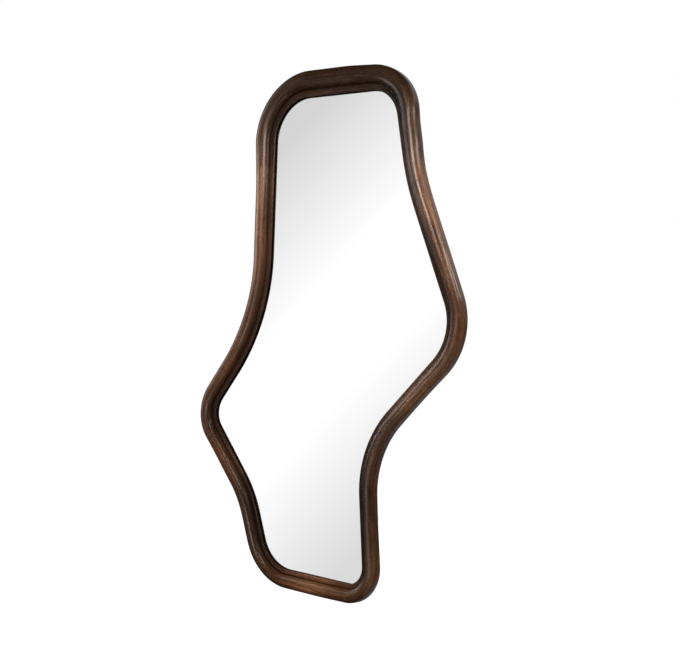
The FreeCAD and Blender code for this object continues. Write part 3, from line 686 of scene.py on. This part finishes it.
def walnut_patterns(graph, grain):
    """The walnut's patterns by name, with its growth rings."""
    sway = graph.math("SUBTRACT", graph.noise(grain, *SWAY_NOISE), 0.5)
    bend = graph.vector("SCALE", SWAY_DIRECTION, graph.math("MULTIPLY", sway, SWAY_REACH))
    swept = graph.vector("ADD", grain, bend)
    patterns = {name: graph.noise(swept, *values) for name, values in FIBRE_NOISE.items()}
    patterns |= {name: graph.noise(grain, *values) for name, values in BROAD_NOISE.items()}
    _, outward, forward = graph.split(swept)
    rings = graph.math("ADD", graph.math("MULTIPLY", outward, RINGS_OUTWARD),
                       graph.math("MULTIPLY", forward, RINGS_FORWARD))
    rings = graph.math("ADD", rings, graph.math("MULTIPLY", patterns["wobble"], RING_WOBBLE))
    patterns["rings"] = graph.math("POWER", graph.math("PINGPONG", rings, 1.0), RING_SHARPNESS)
    return patterns


def walnut_colour(graph, patterns, pores, raw, dark_and_shade, tone):
    """Dark walnut that turns from reddish to olive, scaled by a tone that is partly painted light and shade,
    darker in pores, in the groove and where shade is painted, paler where it is raw.
    """
    shade = graph.math("MULTIPLY", patterns["rings"], SHADE_OF_RINGS)
    for name, share in SHADE_SHARES.items():
        about_zero = graph.math("SUBTRACT", patterns[name], 0.5)
        shade = graph.math("ADD", shade, graph.math("MULTIPLY", about_zero, share * 2))
    shade = graph.math("ADD", shade, SHADE_MIDDLE)
    # The tone scales the colour: partly the boards' own, partly painted shade and painted light
    colour = graph.vector("SCALE", graph.ramp(shade, WALNUT_COLOURS), tone)
    reddish = graph.mix(1.0, colour, RED_TINT, "MULTIPLY")
    olive = graph.mix(1.0, colour, OLIVE_TINT, "MULTIPLY")
    colour = graph.mix(graph.span(patterns["hue"], *HUE_TURN), reddish, olive)
    colour = graph.mix(graph.math("MULTIPLY", pores, PORE_SHARE), colour, PORE_COLOUR)
    # Darker in the groove, and painted shade at the lip's back and on the upright bars' inner side
    colour = graph.mix(graph.math("MULTIPLY", dark_and_shade, DARK_AND_SHADE_SHARE), colour, DARK_AND_SHADE_COLOUR)
    bare = graph.mix(BARE_SHARE, colour, BARE_COLOUR)
    return graph.mix(graph.math("MULTIPLY", raw, RAW_SHARE), colour, bare)


def walnut():
    """Dark stained walnut under satin lacquer, bare and dull where the bar's back is, with less lacquer
    where the groove is darker and where shade is painted.
    """
    material, graph = new_material("walnut_wood")
    patterns = walnut_patterns(graph, graph.attribute("grain"))
    raw, dark_and_shade, tone = graph.split(graph.attribute("finish_and_shade"))
    fibres = patterns["fibres"]
    pores = graph.span(patterns["pores"], *PORE_EDGE)
    wavy = graph.bump(patterns["waves"], *WAVE_BUMP)
    relief = graph.math("SUBTRACT", graph.math("MULTIPLY", fibres, FIBRE_RELIEF), pores)
    coat_roughness = graph.math("ADD", graph.span(patterns["handling"], *COAT_ROUGHNESS),
                                graph.math("MULTIPLY", raw, RAW_ROUGHNESS))
    # Less coat where the groove is darker and where shade is painted, so that they show no sheen
    uncoated = graph.math("ADD", graph.math("MULTIPLY", raw, COAT_LOST_WHERE_RAW),
                          graph.math("MULTIPLY", dark_and_shade, COAT_LOST_IN_DARK_AND_SHADE))
    surface(graph,
            Base_Color=walnut_colour(graph, patterns, pores, raw, dark_and_shade, tone),
            Roughness=graph.span(fibres, *WOOD_ROUGHNESS),
            Specular_IOR_Level=WOOD_SPECULAR,
            Normal=graph.bump(relief, *FIBRE_BUMP, wavy),
            Coat_Weight=graph.math("SUBTRACT", 1.0, uncoated, clamp=True),
            Coat_Roughness=coat_roughness,
            Coat_IOR=LACQUER_IOR,
            Coat_Normal=graph.bump(relief, *COAT_BUMP, wavy))
    return material


def silvered_glass():
    """Clear float glass with a silvered back: the back face is metal, and the rest is glass."""
    material, graph = new_material("silvered_glass")
    place = graph.place()
    depth = graph.split(place)[1]
    silvered = graph.math("GREATER_THAN", depth, -(GLASS_BACK_LEVEL + SILVER_DEPTH))
    glass = graph.add("BsdfRefraction", {"Color": GLASS_TINT, "IOR": GLASS_IOR, "Roughness": 0.0})
    tone = graph.ramp(graph.noise(place, (5, 5, 5), detail=2.0), SILVER_TONES)
    silver = graph.add("BsdfPrincipled", {"Base Color": tone, "Metallic": 1.0, "Roughness": 0.0})
    graph.show(graph.add("MixShader", {0: silvered, 1: glass.outputs[0], 2: silver.outputs[0]}))
    return material


def steel():
    """Bright zinc plate, faintly brushed, with small dull spots."""
    material, graph = new_material("zinc_steel")
    place = graph.place()
    brushed = graph.noise(place, (260, 2600, 2600), detail=3.0, roughness=0.7)
    spots = graph.noise(place, (420, 420, 420), detail=3.0, roughness=0.6)
    colour = graph.ramp(spots, [(0.3, (0.46, 0.46, 0.45)), (0.55, (0.62, 0.62, 0.6)),
                                (0.8, (0.7, 0.69, 0.66))])
    roughness = graph.math("ADD", graph.span(spots, 0.3, 0.8, to_low=0.2, to_high=0.42),
                           graph.math("MULTIPLY", brushed, 0.08))
    surface(graph, Base_Color=colour, Metallic=1.0, Roughness=roughness,
            Normal=graph.bump(brushed, distance=0.00002, strength=0.6))
    return material


def hardboard():
    """Smooth brown hardboard with pressed fibres."""
    material, graph = new_material("hardboard")
    place = graph.place()
    fibres = graph.noise(place, (240, 240, 420), detail=6.0, roughness=0.7, distortion=1.5)
    clouds = graph.noise(place, (9, 9, 9), detail=3.0, roughness=0.6)
    shade = graph.math("ADD", graph.math("MULTIPLY", fibres, 0.82), graph.math("MULTIPLY", clouds, 0.18))
    colour = graph.ramp(shade, [(0.3, (0.085, 0.045, 0.024)), (0.5, (0.14, 0.08, 0.044)),
                                (0.7, (0.2, 0.125, 0.072))])
    surface(graph, Base_Color=colour,
            Roughness=graph.span(clouds, 0.3, 0.7, to_low=0.5, to_high=0.68),
            Normal=graph.bump(fibres, distance=0.0001, strength=0.5))
    return material


def dull(name, dark, light, scale, roughness, bump):
    """A dull material that varies between two tones, in fine specks and twelve times coarser patches."""
    material, graph = new_material(name)
    place = graph.place()
    fine = graph.noise(place, (scale, scale, scale), detail=4.0, roughness=0.65)
    coarse = graph.noise(place, (scale / 12, scale / 12, scale / 12), detail=2.0)
    shade = graph.math("ADD", graph.math("MULTIPLY", fine, 0.7), graph.math("MULTIPLY", coarse, 0.3))
    surface(graph, Base_Color=graph.ramp(shade, [(0.3, dark), (0.7, light)]),
            Roughness=graph.span(fine, 0.3, 0.7, to_low=roughness - 0.08, to_high=roughness + 0.08),
            Normal=graph.bump(fine, distance=bump, strength=0.6))
    return material


def rubber():
    return dull("bumper_rubber", dark=(0.012, 0.012, 0.012), light=(0.03, 0.03, 0.03),
                scale=900, roughness=0.62, bump=0.00004)


def dowel_wood():
    return dull("dowel_wood", dark=(0.42, 0.28, 0.16), light=(0.58, 0.42, 0.26),
                scale=500, roughness=0.6, bump=0.00005)


def tape():
    return dull("tape", dark=(0.05, 0.034, 0.024), light=(0.085, 0.06, 0.044),
                scale=1500, roughness=0.8, bump=0.00006)


def foam():
    return dull("foam", dark=(0.34, 0.34, 0.33), light=(0.6, 0.6, 0.58),
                scale=1300, roughness=0.9, bump=0.0003)


# The dressed model

def build_frame():
    """The bars, which stand for the frame's lengths, two of them with a hanger's pocket."""
    wood = walnut()
    ring_joints = {joint["child"]: joint for joint in frame["joints"]}
    pockets = {"right_waist": ring_joints["ring_right"], "left_waist": ring_joints["ring_left"]}
    for index, corner in enumerate(CORNERS):
        bar = make_bar(index)
        if corner.name in pockets:
            cut(bar, pocket_cutter(pockets[corner.name]))
        smooth(bar.data)
        bar.data.materials.append(wood)
        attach(bar, "frame")
        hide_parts("frame_" + corner.name)


def build_glass():
    """The pane, which stands for the mirror glass."""
    pane = make_glass()
    pane.data.materials.append(silvered_glass())
    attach(pane, "frame")
    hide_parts("mirror_glass")


def dress(node, material):
    """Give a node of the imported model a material."""
    slots = frame["nodes"][node].data.materials
    slots.clear()
    slots.append(material)


def dress_packed_nodes():
    """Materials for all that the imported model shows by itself."""
    metal, black_rubber = steel(), rubber()
    for name in frame["nodes"]:
        if name.startswith("hanger_") or name == "backing_screws":
            dress(name, metal)
        elif name.startswith("wall_bumper_") or name == "glass_setting_blocks":
            dress(name, black_rubber)
    dress("backing_board", hardboard())
    dress("joint_dowels", dowel_wood())
    dress("glazing_tape", tape())
    dress("foam_spacers", foam())


# The studio: white to the eye, with lights that the lacquer reflects, a card for the mirror and a floor

def direction(azimuth, elevation):
    """The way to a light, with azimuth 0 on the viewer's side and 90 to the right."""
    a, e = math.radians(azimuth), math.radians(elevation)
    return (math.sin(a) * math.cos(e), -math.cos(a) * math.cos(e), math.sin(e))


def panel_light(graph, way):
    """The light that comes from a way: the room's own and that of the soft panels there."""
    light = ROOM_LIGHT
    for azimuth, elevation, radius, strength in PANELS:
        near = graph.vector("DOT_PRODUCT", way, direction(azimuth, elevation))
        panel = graph.span(near, math.cos(math.radians(radius)), 1.0, 0.0, strength)
        light = graph.math("ADD", light, panel)
    return light


def graded_card(graph, way):
    """The grey that the mirror shows from a way. The card's middle is where the photo's view is sent."""
    azimuth = math.radians(CAMERA_AZIMUTH)
    to_camera = Vector(direction(CAMERA_AZIMUTH, CAMERA_ELEVATION))
    straight = Vector((-to_camera.x, to_camera.y, -to_camera.z))
    across = Vector((math.cos(azimuth), -math.sin(azimuth), 0))
    upward = Vector((0, 0, 1)) - straight * straight.z
    slope = across - upward.normalized() * CARD_LEAN
    ahead = graph.vector("DOT_PRODUCT", way, tuple(straight))
    aside = graph.vector("DOT_PRODUCT", way, tuple(slope))
    aside = graph.math("DIVIDE", aside, graph.math("MAXIMUM", ahead, LEAST_AHEAD))
    rise = graph.span(aside, *CARD_RISE, "LINEAR")
    fall = graph.span(aside, *CARD_FALL, "LINEAR")
    outer, inner = (math.cos(math.radians(angle)) for angle in CARD_FADE)
    on_card = graph.span(ahead, outer, inner)
    beyond = graph.span(graph.split(way)[2], *BEYOND_CARD)
    return graph.mix_numbers(on_card, beyond, graph.math("MINIMUM", rise, fall))


def make_surround():
    """A white surround to the eye, the card in the mirror, and soft panels for all else."""
    world = bpy.data.worlds.new("studio")
    bpy.context.scene.world = world
    world.use_nodes = True
    graph = Graph(world.node_tree)
    way = graph.add("TexCoord").outputs["Generated"]
    path = graph.add("LightPath").outputs
    few_surfaces = graph.math("LESS_THAN", path["Ray Depth"], CARD_MOST_SURFACES)
    in_mirror = graph.math("MULTIPLY", path["Is Singular Ray"], few_surfaces)
    shown = graph.mix_numbers(in_mirror, panel_light(graph, way), graded_card(graph, way))
    shown = graph.mix_numbers(path["Is Camera Ray"], shown, 1.0)
    graph.show(graph.add("Background", {"Color": (1, 1, 1), "Strength": shown}), "OutputWorld")


def add_lamp(name, azimuth, distance, height, size, power, glossy):
    """An area light that faces the mirror's upright axis, unseen by the camera and in the mirror."""
    data = bpy.data.lights.new(name, "AREA")
    data.shape = "RECTANGLE"
    data.size, data.size_y = size
    data.energy = power
    if glossy:
        data.color = SOFTBOX_COLOUR
    light = add_object(name, data)
    way = Vector(direction(azimuth, 0))
    light.location = way * distance + Vector((0, 0, height))
    light.rotation_mode = "QUATERNION"
    light.rotation_quaternion = way.to_track_quat("Z", "Y")
    light.visible_camera = False
    light.visible_transmission = False
    light.visible_glossy = glossy


def make_lights():
    """The softboxes, which the lacquer reflects, and the fill lamps, which it doesn't."""
    for index, (azimuth, half_angle, low, high, radiance) in enumerate(SOFTBOXES):
        width = 2 * SOFTBOX_DISTANCE * math.tan(math.radians(half_angle))
        power = radiance * math.pi * width * (high - low)
        middle, size = (low + high) / 2, (width, high - low)
        add_lamp(f"softbox_{index}", azimuth, SOFTBOX_DISTANCE, middle, size, power, True)
    for index, (azimuth, height, power) in enumerate(FILLS):
        add_lamp(f"fill_{index}", azimuth, FILL_DISTANCE, height, (FILL_SIZE, FILL_SIZE), power, False)


def pale_floor():
    """A pale floor that glows, so that it is as white as the surround."""
    material, graph = new_material("pale_floor")
    speckle = graph.noise(graph.place(), (30, 30, 30), detail=3.0)
    surface(graph, Base_Color=graph.ramp(speckle, [(0.3, (0.08, 0.08, 0.08)), (0.7, (0.1, 0.1, 0.1))]),
            Roughness=0.9, Specular_IOR_Level=0.1, Emission_Color=(1, 1, 1), Emission_Strength=1.0)
    return material


def make_floor():
    """A large round floor just under the mirror. It sends no light to the mirror and shows in nothing."""
    work = bmesh.new()
    bmesh.ops.create_circle(work, cap_ends=True, segments=FLOOR_SIDES, radius=FLOOR_RADIUS)
    mesh = bpy.data.meshes.new("floor")
    work.to_mesh(mesh)
    work.free()
    mesh.materials.append(pale_floor())
    floor = add_object("floor", mesh)
    floor.location = (0, 0, cad_low.z - FLOOR_DROP)
    floor.visible_glossy = False
    floor.visible_diffuse = False
    floor.visible_transmission = False


def make_camera():
    """The photo's camera."""
    to_camera = Vector(direction(CAMERA_AZIMUTH, CAMERA_ELEVATION))
    data = bpy.data.cameras.new("camera")
    data.sensor_width = SENSOR_WIDTH
    data.lens = SENSOR_WIDTH * FOCAL_PIXELS / PHOTO_WIDTH
    data.shift_x = SHIFT_PIXELS[0] / PHOTO_WIDTH
    data.shift_y = SHIFT_PIXELS[1] / PHOTO_WIDTH
    data.clip_start, data.clip_end = 0.05, 100
    camera = add_object("camera", data)
    camera.location = CAMERA_TARGET + to_camera * CAMERA_DISTANCE
    camera.rotation_mode = "QUATERNION"
    camera.rotation_quaternion = (-to_camera).to_track_quat("-Z", "Y")
    bpy.context.scene.camera = camera


build_frame()
build_glass()
dress_packed_nodes()
make_surround()
make_lights()
make_floor()
make_camera()
bpy.context.scene.view_settings.view_transform = "Standard"
